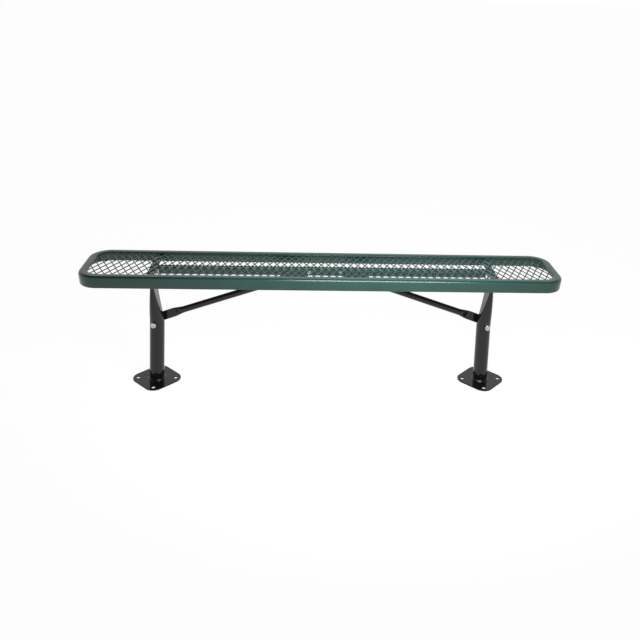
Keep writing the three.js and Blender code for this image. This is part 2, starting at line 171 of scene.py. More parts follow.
class Shader:
    """A node material with short calls for the nodes that the bench's finishes share."""

    def __init__(self, name):
        self.material = bpy.data.materials.new(name)
        self.material.use_nodes = True
        self.tree = self.material.node_tree
        self.tree.nodes.clear()
        self.output = self.add("ShaderNodeOutputMaterial")
        self.surface = self.add("ShaderNodeBsdfPrincipled")
        self.join(self.surface.outputs["BSDF"], self.output.inputs["Surface"])
        self.place = self.add("ShaderNodeTexCoord").outputs["Object"]
        self.height = None

    def add(self, kind, **settings):
        node = self.tree.nodes.new(kind)
        for key, value in settings.items():
            setattr(node, key, value)
        return node

    def join(self, output, target):
        self.tree.links.new(output, target)

    def set(self, **values):
        for key, value in values.items():
            self.surface.inputs[key.replace("_", " ")].default_value = value

    def noise(self, per_metre, detail, roughness=0.55):
        node = self.add("ShaderNodeTexNoise")
        self.join(self.place, node.inputs["Vector"])
        node.inputs["Scale"].default_value = per_metre
        node.inputs["Detail"].default_value = detail
        node.inputs["Roughness"].default_value = roughness
        return node.outputs["Fac"]

    def remap(self, value, low, high, to_low=0.0, to_high=1.0):
        node = self.add("ShaderNodeMapRange")
        self.join(value, node.inputs["Value"])
        for key, number in (("From Min", low), ("From Max", high), ("To Min", to_low), ("To Max", to_high)):
            node.inputs[key].default_value = number
        return node.outputs["Result"]

    def math(self, operation, first, second):
        node = self.add("ShaderNodeMath", operation=operation)
        for target, value in zip(node.inputs, (first, second)):
            if isinstance(value, (int, float)):
                target.default_value = value
            else:
                self.join(value, target)
        return node.outputs["Value"]

    def mix(self, factor, first, second):
        node = self.add("ShaderNodeMix", data_type="RGBA")
        self.join(factor, node.inputs["Factor"])
        for target, value in ((node.inputs["A"], first), (node.inputs["B"], second)):
            if isinstance(value, tuple):
                target.default_value = (*value, 1.0)
            else:
                self.join(value, target)
        return node.outputs["Result"]

    def color(self, value):
        self.join(value, self.surface.inputs["Base Color"])

    def rough(self, value):
        self.join(value, self.surface.inputs["Roughness"])

    def bump(self, value, distance):
        """Adds a layer of bump, its depth in metres, on top of the layers already there."""
        node = self.add("ShaderNodeBump")
        node.inputs["Distance"].default_value = distance
        self.join(value, node.inputs["Height"])
        if self.height is not None:
            self.join(self.height, node.inputs["Normal"])
        self.height = node.outputs["Normal"]
        self.join(self.height, self.surface.inputs["Normal"])

    def edges(self, low, high):
        """0 in flats and hollows, 1 on outer edges: worn edges on the coatings, and on the zinc the mask of
        painted shade in the hollows.
        """
        pointiness = self.add("ShaderNodeNewGeometry").outputs["Pointiness"]
        return self.remap(pointiness, low, high)


GREEN_DEEP = (0.0210, 0.082, 0.066)
GREEN_PALE = (0.0245, 0.093, 0.075)
GREEN_RUBBED = (0.045, 0.12, 0.10)
BLACK_CLEAN = (0.0045, 0.0046, 0.0052)
BLACK_DUSTY = (0.008, 0.0081, 0.0086)
BLACK_RUBBED = (0.045, 0.045, 0.047)
ZINC_BLUE = (0.46, 0.47, 0.49)
ZINC_YELLOW = (0.60, 0.59, 0.56)
# Dark grey painted into the zinc's hollows as shade.
ZINC_PAINTED_SHADE = (0.22, 0.22, 0.22)


def green_coating():
    """Thick, glossy, dark green thermoplastic: soft ripples, faint mottling, a little paler on edges."""
    s = Shader("green_thermoplastic")
    mottle = s.remap(s.noise(9.0, detail=3.0), 0.35, 0.65)
    tone = s.mix(mottle, GREEN_DEEP, GREEN_PALE)
    rubbed = s.mix(s.math("MULTIPLY", s.edges(0.52, 0.62), 0.35), tone, GREEN_RUBBED)
    s.color(rubbed)
    s.rough(s.remap(s.noise(35.0, detail=5.0), 0.3, 0.7, 0.16, 0.26))
    s.set(Specular_IOR_Level=0.5)
    s.bump(s.noise(14.0, detail=1.0), 0.25 * MM)
    s.bump(s.noise(420.0, detail=2.0), 0.01 * MM)
    return s.material


def black_powder_coat():
    """Glossy black powder coat: fine orange peel, faint dust in the gloss, slight rub marks on edges."""
    s = Shader("black_powder_coat")
    dust = s.remap(s.noise(60.0, detail=6.0, roughness=0.7), 0.45, 0.75)
    tone = s.mix(dust, BLACK_CLEAN, BLACK_DUSTY)
    rubbed = s.mix(s.math("MULTIPLY", s.edges(0.53, 0.66), 0.4), tone, BLACK_RUBBED)
    s.color(rubbed)
    s.rough(s.remap(s.noise(18.0, detail=5.0), 0.3, 0.7, 0.04, 0.10))
    s.set(Specular_IOR_Level=0.40)
    s.bump(s.noise(650.0, detail=1.5), 0.008 * MM)
    s.bump(s.noise(30.0, detail=1.0), 0.06 * MM)
    return s.material


def zinc_plate():
    """Bright zinc plate: brushed mottling, faint yellow and blue stains, and painted shade that darkens the
    hollows.
    """
    s = Shader("bright_zinc_plate")
    stain = s.remap(s.noise(110.0, detail=4.0), 0.35, 0.65)
    tone = s.mix(stain, ZINC_BLUE, ZINC_YELLOW)
    # Painted shade: the hollows, found by pointiness, take a dark grey in place of the plate's tone.
    s.color(s.mix(s.edges(0.42, 0.52), ZINC_PAINTED_SHADE, tone))
    s.rough(s.remap(s.noise(260.0, detail=5.0), 0.3, 0.7, 0.14, 0.28))
    s.set(Metallic=1.0)
    s.bump(s.noise(900.0, detail=3.0), 0.05 * MM)
    return s.material


GREEN = green_coating()
BLACK = black_powder_coat()
ZINC = zinc_plate()


# ---------------------------------------------------------------- seat rim

RIM_CORNER = 78 * MM
RIM_TAPER = 4.5 * MM
RIM_SHEET = 2.6 * MM
RIM_ROLL = 10 * MM
RIM_FLAT_END = 27 * MM
RIM_WIDTH = 33 * MM
RIM_FLAT_EASE = 3 * MM
RIM_FLAT_SAG = 0.25 * MM
RIM_LIP_DROP = 1.5 * MM
RIM_LIP_COAT = 0.2 * MM
RIM_BEAD = 2.0 * MM
RIM_BEAD_RADIUS = 0.8 * RIM_BEAD
RIM_CORNER_STEPS = 16
RIM_SIDE_STEPS = 8


def arc_points(center_x, center_y, radius, start, end, steps):
    """Points on an arc, both ends included, angles in degrees."""
    angles = [math.radians(start + (end - start) * i / steps) for i in range(steps + 1)]
    return [(center_x + radius * math.cos(a), center_y + radius * math.sin(a)) for a in angles]


def rim_section(height):
    """The rim's closed section as (distance inwards from the outer edge, height above the seat's top). The
    coating gathers in a small bead along the lower edge and round the inner lip."""
    lean = math.degrees(math.atan2(RIM_TAPER, height - RIM_ROLL))
    dip = math.degrees(math.atan2(RIM_LIP_DROP, RIM_WIDTH - RIM_FLAT_END))
    lower_x = RIM_TAPER + RIM_SHEET / 2
    lip_x = RIM_WIDTH - RIM_SHEET / 2
    lip_y = -RIM_LIP_DROP - RIM_SHEET / 2
    outer = arc_points(lower_x, -height + RIM_BEAD, RIM_BEAD_RADIUS, 350 - lean, 180, 6)
    outer += arc_points(RIM_ROLL, -RIM_ROLL, RIM_ROLL, 180, 90, 10)
    outer += [(RIM_FLAT_END - RIM_FLAT_EASE, 0.0), (RIM_FLAT_END, -RIM_FLAT_SAG)]
    lip = arc_points(lip_x, lip_y, RIM_SHEET / 2 + RIM_LIP_COAT, 90 - dip, -90, 6)
    inner = [(RIM_FLAT_END, -RIM_SHEET), (RIM_FLAT_END - RIM_FLAT_EASE, -RIM_SHEET)]
    inner += arc_points(RIM_ROLL, -RIM_ROLL, RIM_ROLL - RIM_SHEET, 90, 180, 6)
    inner += [(lower_x + RIM_SHEET / 2, -height + 3 * RIM_BEAD)]
    return outer + lip + inner


def rounded_path(length, depth, radius, corner_steps, straight_steps):
    """Points and outward directions along a rounded rectangle, anticlockwise from above."""
    stations = []
    corners = [(1, 1, 0), (-1, 1, 90), (-1, -1, 180), (1, -1, 270)]
    for index, (sx, sy, start) in enumerate(corners):
        center = Vector((sx * (length / 2 - radius), sy * (depth / 2 - radius)))
        for i in range(corner_steps + 1):
            angle = math.radians(start + 90 * i / corner_steps)
            outward = Vector((math.cos(angle), math.sin(angle)))
            stations.append((center + outward * radius, outward))
        nx, ny, _ = corners[(index + 1) % 4]
        next_center = Vector((nx * (length / 2 - radius), ny * (depth / 2 - radius)))
        outward = stations[-1][1]
        for i in range(1, straight_steps):
            at = center.lerp(next_center, i / straight_steps)
            stations.append((at + outward * radius, outward))
    return stations


def build_rim():
    low, high, _ = box_of("seat_rim")
    size = high - low
    section = rim_section(size.z)
    rings = []
    for at, outward in rounded_path(size.x, size.y, RIM_CORNER, RIM_CORNER_STEPS, RIM_SIDE_STEPS):
        rings.append([(at.x - outward.x * inwards, at.y - outward.y * inwards, high.z + height)
                      for inwards, height in section])
    rim = mesh_object("seat_rim_coated", *loft(rings, loop=True), smooth_angle=50)
    return place(rim, "seat_rim", GREEN)


# ---------------------------------------------------------------- expanded metal

SHORT_PITCH = 28.6 * MM
LONG_PITCH = 57.2 * MM
ROW_SHIFT = 17.5 * MM  # the first cell's middle lies this far behind the seat's middle
STRAND_HALF = 2.25 * MM
STRAND_RISE = 1.8 * MM
STRAND_TWIST = 0.55 * MM
TIP_RADIUS = 1.2 * MM
WAIST_RADIUS = 3.0 * MM
SHEET_INSET = 9 * MM
SIDE_SHARES = (0.0, 0.08, 0.16, 0.5, 0.84, 0.92)  # stations along one side of a cell
SECTION_TURNS = (0, 30, 60, 90, 120, 150, 180)  # stations round half of a strand, in degrees


def diamond_outlines():
    """One diamond cell about the origin: points along the strands' middle lines, and the matching points on
    the rounded opening."""
    half_x, half_y = SHORT_PITCH / 2, LONG_PITCH / 2
    corners = [Vector((half_x, 0)), Vector((0, half_y)), Vector((-half_x, 0)), Vector((0, -half_y))]
    middle, opening = [], []
    for i in range(4):
        here, there = corners[i], corners[(i + 1) % 4]
        middle += [here.lerp(there, share) for share in SIDE_SHARES]
        opening += corner_arc(here, there)
        opening.append((corner_arc(here, there)[-1] + corner_arc(there, here)[-1]) / 2)
        opening += reversed(corner_arc(there, here)[1:])
    return middle, opening


def corner_arc(corner, neighbour):
    """Half of the rounding of one corner of the opening, from the diagonal to the side towards neighbour."""
    is_waist = abs(corner.x) > abs(corner.y)
    radius = WAIST_RADIUS if is_waist else TIP_RADIUS
    side = (neighbour - corner).normalized()
    inwards = -corner.normalized()
    half_angle = inwards.angle(side)
    center = corner + inwards * ((STRAND_HALF + radius) / math.sin(half_angle))
    to_side = Vector((-side.y, side.x))
    if to_side.dot(inwards) > 0:
        to_side = -to_side
    points = []
    for share in (0.0, 0.5, 1.0):
        direction = (-inwards).lerp(to_side, share).normalized()
        points.append(center + direction * radius)
    return points


def inside_rounded(x, y, half_x, half_y, radius):
    """Whether a point lies within a rounded rectangle about the origin."""
    out_x = max(abs(x) - half_x + radius, 0.0)
    out_y = max(abs(y) - half_y + radius, 0.0)
    return math.hypot(out_x, out_y) <= radius


def build_expanded_metal():
    """Staggered diamond cells joined into one closed sheet. Each cell is a ring of small wedges, and a wedge
    is left out where it would pass the sheet's edge. Faces shared by two wedges cancel."""
    rim_low, rim_high, _ = box_of("seat_rim")
    _, _, middle_of_sheet = box_of("seat_mesh")
    half_x = (rim_high.x - rim_low.x) / 2 - SHEET_INSET
    half_y = (rim_high.y - rim_low.y) / 2 - SHEET_INSET
    radius = RIM_CORNER - SHEET_INSET
    middle, opening = diamond_outlines()
    count = len(middle)
    index_of, vertices, faces = {}, [], {}

    def vertex(x, y, z, cell):
        """The index of a point. Points within about a micrometre are one, unless their cells differ."""
        key = (round(x * 1e6), round(y * 1e6), round(z * 1e7), cell)
        if key not in index_of:
            index_of[key] = len(vertices)
            vertices.append((x, y, z))
        return index_of[key]

    def rib(center, middle_point, opening_point, cell):
        """The half section of a strand at one station, from its top over the opening's side to its bottom."""
        corners = []
        for turn in SECTION_TURNS:
            at = center + middle_point.lerp(opening_point, math.sin(math.radians(turn)))
            own = cell if 0 < turn < 180 else None
            corners.append(vertex(at.x, at.y, STRAND_RISE * math.cos(math.radians(turn)), own))
        return corners

    def add_face(corners):
        key = tuple(sorted(corners))
        if key in faces:
            del faces[key]
        else:
            faces[key] = corners

    def add_wedge(here, there):
        """The strand between two ribs, closed at both of them."""
        for i in range(len(here) - 1):
            add_face((here[i], there[i], there[i + 1], here[i + 1]))
        add_face((here[0], here[-1], there[-1], there[0]))
        add_face(tuple(here))
        add_face(tuple(reversed(there)))

    def add_cell(column, row):
        center = Vector((column * SHORT_PITCH / 2, ROW_SHIFT + row * LONG_PITCH / 2))
        is_inside = [inside_rounded(*(center + point), half_x, half_y, radius) for point in middle]
        for k in range(count):
            after = (k + 1) % count
            if is_inside[k] and is_inside[after]:
                here = rib(center, middle[k], opening[k], (column, row))
                there = rib(center, middle[after], opening[after], (column, row))
                add_wedge(here, there)

    columns = math.ceil(2 * half_x / SHORT_PITCH) + 1
    rows = math.ceil(2 * half_y / LONG_PITCH) + 2
    for column in range(-columns, columns + 1):
        for row in range(-rows, rows + 1):
            if (column + row) % 2 == 0:
                add_cell(column, row)
    twisted = [(x, y, z + middle_of_sheet.z + STRAND_TWIST * math.sin(TURN * x / (SHORT_PITCH / 2)))
               for x, y, z in vertices]
    sheet = mesh_object("seat_expanded_metal", twisted, list(faces.values()), smooth_angle=60)
    return place(sheet, "seat_mesh", GREEN)


# ---------------------------------------------------------------- angles under the seat

ANGLE_THICK = 4.8 * MM
ANGLE_FILLET = 4 * MM
ANGLE_TOE = 1.6 * MM
ANGLE_HEEL = 1.0 * MM
ANGLE_TIP = 0.6 * MM
ANGLE_SMOOTH = 40
CENTER_STATIONS = 13
CROSS_STATIONS = 5
BOLT_HOLE = 5.16 * MM


def angle_section(level, upright):
    """Rolled angle: a rounded toe on each leg and a fillet in the inner corner. The heel is at the origin,
    the level leg along +X and the upright one down."""
    inner = ANGLE_THICK + ANGLE_FILLET
    points = arc_points(ANGLE_HEEL, -ANGLE_HEEL, ANGLE_HEEL, 90, 180, 3)
    points += [(0, -upright + ANGLE_TIP), (ANGLE_TIP, -upright)]
    points += arc_points(ANGLE_THICK - ANGLE_TOE, -upright + ANGLE_TOE, ANGLE_TOE, 270, 360, 4)
    points += arc_points(inner, -inner, ANGLE_FILLET, 180, 90, 5)
    points += arc_points(level - ANGLE_TOE, -ANGLE_THICK + ANGLE_TOE, ANGLE_TOE, 270, 360, 4)
    points += [(level, -ANGLE_TIP), (level - ANGLE_TIP, 0)]
    return points


def hole_drill(center, axis, radius, sides=32):
    """A drill through a point, along an axis."""
    step = Vector(axis) * DRILL_REACH
    return rod(center - step, center + step, radius, sides)


def bolt_drill(node, axis, radius):
    """A drill through the middle of a bolt's CAD box."""
    _, _, center = box_of(node)
    return hole_drill(center, axis, radius)


def leg_top_drills(side):
    return [bolt_drill(f"{side}_leg_top_{end}_bolt", (1, 0, 0), BOLT_HOLE) for end in ("front", "back")]


def build_center_angle():
    low, high, _ = box_of("center_angle")
    section = angle_section(high.y - low.y, high.z - low.z)
    rings = [[(x, high.y - across, high.z + down) for across, down in section]
             for x in np.linspace(low.x, high.x, CENTER_STATIONS)]
    bar = mesh_object("center_angle_coated", *loft(rings))
    drill(bar, [bolt_drill(f"{side}_brace_upper_bolt", (0, 1, 0), BOLT_HOLE) for side in ("left", "right")])
    shade(bar, ANGLE_SMOOTH)
    return place(bar, "center_angle", GREEN)


def build_cross_angle(side):
    node = f"{side}_cross_angle"
    low, high, _ = box_of(node)
    section = angle_section(high.x - low.x, high.z - low.z)
    outer, inwards = (high.x, -1) if side == "right" else (low.x, 1)
    rings = [[(outer + inwards * across, y, high.z + down) for across, down in section]
             for y in np.linspace(low.y, high.y, CROSS_STATIONS)]
    bar = mesh_object(f"{node}_coated", *loft(rings))
    drill(bar, leg_top_drills(side))
    shade(bar, ANGLE_SMOOTH)
    return place(bar, node, GREEN)


# ---------------------------------------------------------------- pressed tubes

def smooth_step(value):
    value = min(max(value, 0.0), 1.0)
    return value * value * (3 - 2 * value)


def pressed_point(turn, radius, wall, thickness, is_inside):
    """A point of a round tube's section after pressing, keeping its girth: thickness runs along the first
    axis. turn is the point's angle on the round tube."""
    end_radius = thickness / 2
    half_flat = math.pi * (radius - end_radius) / 2
    wall_radius = end_radius - (wall if is_inside else 0.0)
    first, second = math.cos(turn), math.sin(turn)
    girth = math.atan2(abs(second), abs(first)) * radius
    rounding = max(girth - half_flat, 0.0) / end_radius
    x = wall_radius * math.cos(rounding)
    y = min(girth, half_flat) + wall_radius * math.sin(rounding)
    return math.copysign(x, first), math.copysign(y, second)


def pressed_rings(stations, radius, wall, count, to_world):
    """Rings up the outside of a tube and back down its inside. A station is (distance along, thickness), and
    to_world(along, across, sideways) gives a point's place."""
    turns = [TURN * (k + 0.5) / count for k in range(count)]
    rings = []
    for is_inside in (False, True):
        for along, thickness in (reversed(stations) if is_inside else stations):
            ring = []
            for turn in turns:
                across, sideways = pressed_point(turn, radius, wall, thickness, is_inside)
                ring.append(to_world(along, across, sideways))
            rings.append(ring)
    return rings


LEG_RADIUS = 28 * MM
LEG_WALL = 3.2 * MM
LEG_PRESSED = 8 * MM
LEG_PRESSED_INSET = 8.5 * MM
LEG_PRESS_START = 235 * MM
LEG_PRESS_END = 410 * MM
LEG_PRESS_EASE = 0.2
LEG_LEAD_IN = 20 * MM
LEG_LEAD_OUT = 5 * MM
LEG_STATIONS = 46
LEG_EDGE = 0.6 * MM
LEG_SIDES = 72
LEG_BOLT_HOLE = 6.75 * MM


def leg_press(height):
    """0 where the leg is round, 1 where it is fully flat."""
    share = min(max((height - LEG_PRESS_START) / (LEG_PRESS_END - LEG_PRESS_START), 0.0), 1.0)
    return (1 - LEG_PRESS_EASE) * share + LEG_PRESS_EASE * smooth_step(share)


def leg_thickness(height):
    return 2 * LEG_RADIUS + (LEG_PRESSED - 2 * LEG_RADIUS) * leg_press(height)


def build_leg(side):
    """Pipe with its top pressed flat across the seat, nearer to its outer side."""
    node = f"{side}_leg_tube"
    low, high, _ = box_of(node)
    outward = 1 if side == "right" else -1
    outer_face = high.x if side == "right" else low.x
    pressing = np.linspace(LEG_PRESS_START - LEG_LEAD_IN, LEG_PRESS_END + LEG_LEAD_OUT, LEG_STATIONS)
    stations = [(z, leg_thickness(z)) for z in (low.z, *pressing, high.z)]

    def to_world(along, across, sideways):
        inset = LEG_PRESSED_INSET * leg_press(along) ** 2
        middle = outer_face - outward * (inset + leg_thickness(along) / 2)
        return (middle + across, sideways, along)

    rings = pressed_rings(stations, LEG_RADIUS, LEG_WALL, LEG_SIDES, to_world)
    leg = mesh_object(f"{node}_coated", *loft(rings, loop=True))
    drill(leg, [bolt_drill(f"{side}_brace_lower_bolt", (0, 1, 0), LEG_BOLT_HOLE), *leg_top_drills(side)])
    soften(leg, LEG_EDGE)
    return place(leg, node, BLACK)


BRACE_RADIUS = 12.5 * MM
BRACE_WALL = 2.1 * MM
BRACE_PRESSED = 5 * MM
BRACE_LOWER_FLAT = 68 * MM
BRACE_UPPER_FLAT = 100 * MM
BRACE_TAPER = 46 * MM
BRACE_TAPER_STATIONS = 14
BRACE_EDGE = 0.4 * MM
BRACE_SIDES = 48
JOINT_GAP = 0.3 * MM
BRACE_TIP_ANGLES = (80, 66, 52, 38, 24, 12)


def flat_end(side, joint):
    """The middle of the brace's flat end at a joint. The washer lies just behind it."""
    washer_low, _, center = box_of(f"{side}_{joint}_washer")
    return Vector((center.x, washer_low.y - JOINT_GAP - BRACE_PRESSED / 2, center.z))


def build_brace(side):
    """Tube from the leg to the long angle, both ends pressed flat and rounded."""
    node = f"{side}_brace"
    lower, upper = flat_end(side, "brace_lower"), flat_end(side, "brace_upper")
    run = Vector((upper.x - lower.x, 0, upper.z - lower.z))
    length = run.length
    direction = run / length
    upright = Vector((-direction.z, 0, direction.x))
    if upright.z < 0:
        upright = -upright
    half_width = math.pi * (BRACE_RADIUS - BRACE_PRESSED / 2) / 2 + BRACE_PRESSED / 2

    def thickness(along):
        past = min(along - BRACE_LOWER_FLAT, length - BRACE_UPPER_FLAT - along)
        return BRACE_PRESSED + (2 * BRACE_RADIUS - BRACE_PRESSED) * smooth_step(past / BRACE_TAPER)

    def to_world(along, across, sideways):
        share = min(max((along - BRACE_LOWER_FLAT) / (length - BRACE_LOWER_FLAT - BRACE_UPPER_FLAT), 0), 1)
        y = lower.y + (upper.y - lower.y) * share + across
        past_hole = max(-along, along - length, 0.0)
        if past_hole > 0:
            sideways *= math.sqrt(max(1 - (past_hole / half_width) ** 2, 0.0))
        at = Vector((lower.x, 0, lower.z)) + direction * along + upright * sideways
        return (at.x, y, at.z)

    upper_start = length - BRACE_UPPER_FLAT
    rounding = [half_width * math.sin(math.radians(angle)) for angle in BRACE_TIP_ANGLES]
    distances = [-reach for reach in rounding] + [0, BRACE_LOWER_FLAT / 2]
    distances += list(np.linspace(BRACE_LOWER_FLAT, BRACE_LOWER_FLAT + BRACE_TAPER, BRACE_TAPER_STATIONS))
    distances += list(np.linspace(upper_start - BRACE_TAPER, upper_start, BRACE_TAPER_STATIONS))
    distances += [length - BRACE_UPPER_FLAT / 2, length] + [length + reach for reach in reversed(rounding)]
    stations = [(along, thickness(along)) for along in distances]
    rings = pressed_rings(stations, BRACE_RADIUS, BRACE_WALL, BRACE_SIDES, to_world)
    brace = mesh_object(f"{node}_coated", *loft(rings, loop=True))
    drill(brace, [hole_drill(lower, (0, 1, 0), LEG_BOLT_HOLE), hole_drill(upper, (0, 1, 0), BOLT_HOLE)])
    soften(brace, BRACE_EDGE)
    return place(brace, node, BLACK)


# ---------------------------------------------------------------- feet

FOOT_SIDE = 152.4 * MM
FOOT_CORNER = 40 * MM
FOOT_CORNER_STEPS = 12
FOOT_EDGE = 0.9 * MM
FOOT_HOLE = 7.15 * MM
FOOT_HOLE_SIDES = 40
FOOT_HOLE_REACH = 71.84 * MM  # half the diagonal of a 101.6 mm square


def build_foot_plate(side):
    """Six inch plate on its corner, edges eased by the coating, with four anchor holes."""
    node = f"{side}_foot_plate"
    low, high, center = box_of(node)
    quarter = Matrix.Rotation(math.radians(45), 2)
    path = rounded_path(FOOT_SIDE, FOOT_SIDE, FOOT_CORNER, FOOT_CORNER_STEPS, 2)
    outline = [quarter @ at for at, _ in path]
    rings = [[(center.x + p.x, center.y + p.y, z) for p in outline] for z in (low.z, high.z)]
    plate = mesh_object(f"{node}_coated", *loft(rings))
    holes = [center + Vector((dx, dy, 0)) * FOOT_HOLE_REACH for dx, dy in ((1, 0), (0, 1), (-1, 0), (0, -1))]
    drill(plate, [hole_drill(hole, (0, 0, 1), FOOT_HOLE, FOOT_HOLE_SIDES) for hole in holes])
    soften(plate, FOOT_EDGE, segments=3)
    return place(plate, node, BLACK)


WELD_RIPPLES = 58
STATIONS_PER_RIPPLE = 6
# The rest are shares of the bead's size.
WELD_THROAT = 0.60
WELD_REACH = 0.94
WELD_EDGE = 0.02
WELD_RIPPLE = 0.03
WELD_THROAT_DRIFT = 0.05
WELD_REACH_DRIFT = 0.03


def build_foot_weld(side):
    """Fillet bead round the pipe's foot, with the ripples of a hand weld under the coating."""
    node = f"{side}_foot_weld"
    low, high, center = box_of(node)
    size = high.z - low.z
    inner = (high.x - low.x) / 2 - size
    count = WELD_RIPPLES * STATIONS_PER_RIPPLE
    rings = []
    for k in range(count):
        turn = TURN * k / count
        ripple = abs(math.sin(turn * WELD_RIPPLES / 2))
        drift = 0.25 * math.sin(3 * turn + 0.7) + 0.2 * math.sin(7 * turn)
        throat = size * (WELD_THROAT + WELD_RIPPLE * ripple + WELD_THROAT_DRIFT * drift)
        reach = size * (WELD_REACH + WELD_RIPPLE * ripple + WELD_REACH_DRIFT * drift)
        section = [(0, 0), (reach, WELD_EDGE * size)]
        for angle in (22.5, 45, 67.5):
            bulge = throat + (reach - throat) * abs(math.cos(math.radians(2 * angle)))
            section.append((bulge * math.cos(math.radians(angle)), bulge * math.sin(math.radians(angle))))
        section.append((WELD_EDGE * size, reach))
        rings.append([(center.x + (inner + across) * math.cos(turn),
                       center.y + (inner + across) * math.sin(turn), low.z + up) for across, up in section])
    bead = mesh_object(f"{node}_coated", *loft(rings, loop=True), smooth_angle=70)
    return place(bead, node, BLACK)


# ---------------------------------------------------------------- hardware

HALF_INCH = {"radius": 6.35 * MM, "flats": 19.05 * MM, "head": 7.9 * MM, "pitch": 1.95 * MM}
THREE_EIGHTHS = {"radius": 4.76 * MM, "flats": 14.3 * MM, "head": 6.2 * MM, "pitch": 1.59 * MM}
# The end named by "turned" has a corner pointing up, the other end has a flat there.
HARDWARE = {
    "brace_lower": {"axis": (0, -1, 0), "turned": "head", **HALF_INCH},
    "brace_upper": {"axis": (0, -1, 0), "turned": "head", **THREE_EIGHTHS},
    "leg_top_front": {"axis": (1, 0, 0), "turned": "nut", **THREE_EIGHTHS},
    "leg_top_back": {"axis": (1, 0, 0), "turned": "nut", **THREE_EIGHTHS},
}
HEX_COUNT = 48
FACE_SHARE = 0.97
CHAMFER_RISE = 0.6
HEAD_DISH = ((0.35 * MM, 0.45), (0.3 * MM, 0.85), (0.0, 0.93))  # (depth, share of the face's radius)
BOLT_NECK = ((0.02 * MM, 1.08), (0.5 * MM, 1.0))  # (depth under the head, share of the shank's radius)
BOLT_TIP = ((0.3 * MM, 0.86), (0.0, 0.74))  # (depth, share of the shank's radius)
WASHER_FACE = 0.5 * MM
THREAD_LEAD = 8 * MM
THREAD_END = 1.0 * MM
THREAD_DEPTH = 0.55  # share of the pitch
THREAD_STEPS = 6  # rings for each turn of the thread
HARDWARE_SMOOTH = 25
NUT_CLEARANCE = 0.15 * MM
NUT_SINK = 0.7 * MM
WASHER_CLEARANCE = 0.3 * MM
WASHER_ROLL = 0.5 * MM
WASHER_BURR = 0.15 * MM


def axes_of(axis):
    """The axis as a vector with two directions across it."""
    forward = Vector(axis).normalized()
    up = Vector((0, 0, 1))
    return forward, up, forward.cross(up)


def hex_radius(flats, turn):
    """Distance from a hexagon's centre to its side, at an angle."""
    wedge = math.radians(60)
    return flats / 2 / math.cos((turn + wedge / 2) % wedge - wedge / 2)


def hex_ring(flats, cap, is_turned):
    """Radii round a hexagon that is cut down to the cap radius. If is_turned a corner points up, otherwise a
    flat does."""
    start = math.radians(30) if is_turned else 0.0
    return [min(hex_radius(flats, start + TURN * k / HEX_COUNT), cap) for k in range(HEX_COUNT)]


def ring_at(center, frame_axes, along, radii):
    """A ring round the axis, at a distance along it, with a radius for each of its points."""
    forward, up, across = frame_axes
    middle = center + forward * along
    ring = []
    for k, radius in enumerate(radii):
        turn = TURN * k / len(radii)
        ring.append(middle + up * (radius * math.cos(turn)) + across * (radius * math.sin(turn)))
    return ring


def rings_at(center, frame_axes, levels):
    """Rings for (distance along the axis, radius or radii) pairs."""
    rings = []
    for along, radii in levels:
        if isinstance(radii, float):
            radii = [radii] * HEX_COUNT
        rings.append(ring_at(center, frame_axes, along, radii))
    return rings


def hex_end(end, into, flats, is_turned):
    """Levels over a hexagon's chamfered end, from its face to its full corners. into is 1 or -1 and points
    from the face into the hexagon."""
    corner = flats / math.sqrt(3)
    start = flats / 2 * FACE_SHARE
    levels = [(end, hex_ring(flats, start, is_turned))]
    for share in (0.25, 0.5, 0.75, 1.0):
        drop = (corner - start) * CHAMFER_RISE * share
        cap = start + (corner - start) * share + 0.01 * MM
        levels.append((end + into * drop, hex_ring(flats, cap, is_turned)))
    return levels


def thread_levels(start, end, radius, pitch):
    """Levels of a helical thread cut into the shank between two distances along the axis."""
    steps = max(int((start - end) / pitch * THREAD_STEPS), THREAD_STEPS)
    levels = []
    for i in range(steps + 1):
        along = start + (end - start) * i / steps
        phases = [(along / pitch + k / HEX_COUNT) % 1.0 for k in range(HEX_COUNT)]
        levels.append((along, [radius - THREAD_DEPTH * pitch * abs(2 * phase - 1) for phase in phases]))
    return levels


def head_levels(top, seat, flats, is_turned):
    """A head from its slightly hollow top to the washer face under it."""
    face = flats / 2 * FACE_SHARE
    levels = [(top - depth, face * share) for depth, share in HEAD_DISH]
    levels += hex_end(top, -1, flats, is_turned)
    levels.append((seat + WASHER_FACE, hex_ring(flats, flats, is_turned)))
    levels += [(seat + 0.9 * WASHER_FACE, face), (seat, flats / 2 * 0.95)]
    return levels


def build_bolt(side, joint):
    """Hex bolt: chamfered head with a washer face, plain shank, and a helical thread where it stands out."""
    node = f"{side}_{joint}_bolt"
    spec = HARDWARE[joint]
    low, high, center = box_of(node)
    axis = Vector(spec["axis"])
    if axis.x:
        axis.x = 1 if side == "right" else -1
    top = abs((high - low).dot(axis)) / 2
    seat = top - spec["head"]
    _, _, nut = box_of(f"{side}_{joint}_nut")
    thread_start = (nut - center).dot(axis) + THREAD_LEAD
    radius = spec["radius"]
    levels = head_levels(top, seat, spec["flats"], spec["turned"] == "head")
    levels += [(seat - depth, radius * share) for depth, share in BOLT_NECK]
    levels.append((thread_start + 0.5 * MM, radius))
    levels += thread_levels(thread_start, THREAD_END - top, radius, spec["pitch"])
    levels += [(depth - top, radius * share) for depth, share in BOLT_TIP]
    rings = rings_at(center, axes_of(axis), levels)
    bolt = mesh_object(f"{node}_plated", *loft(rings), smooth_angle=HARDWARE_SMOOTH)
    return place(bolt, node, ZINC)


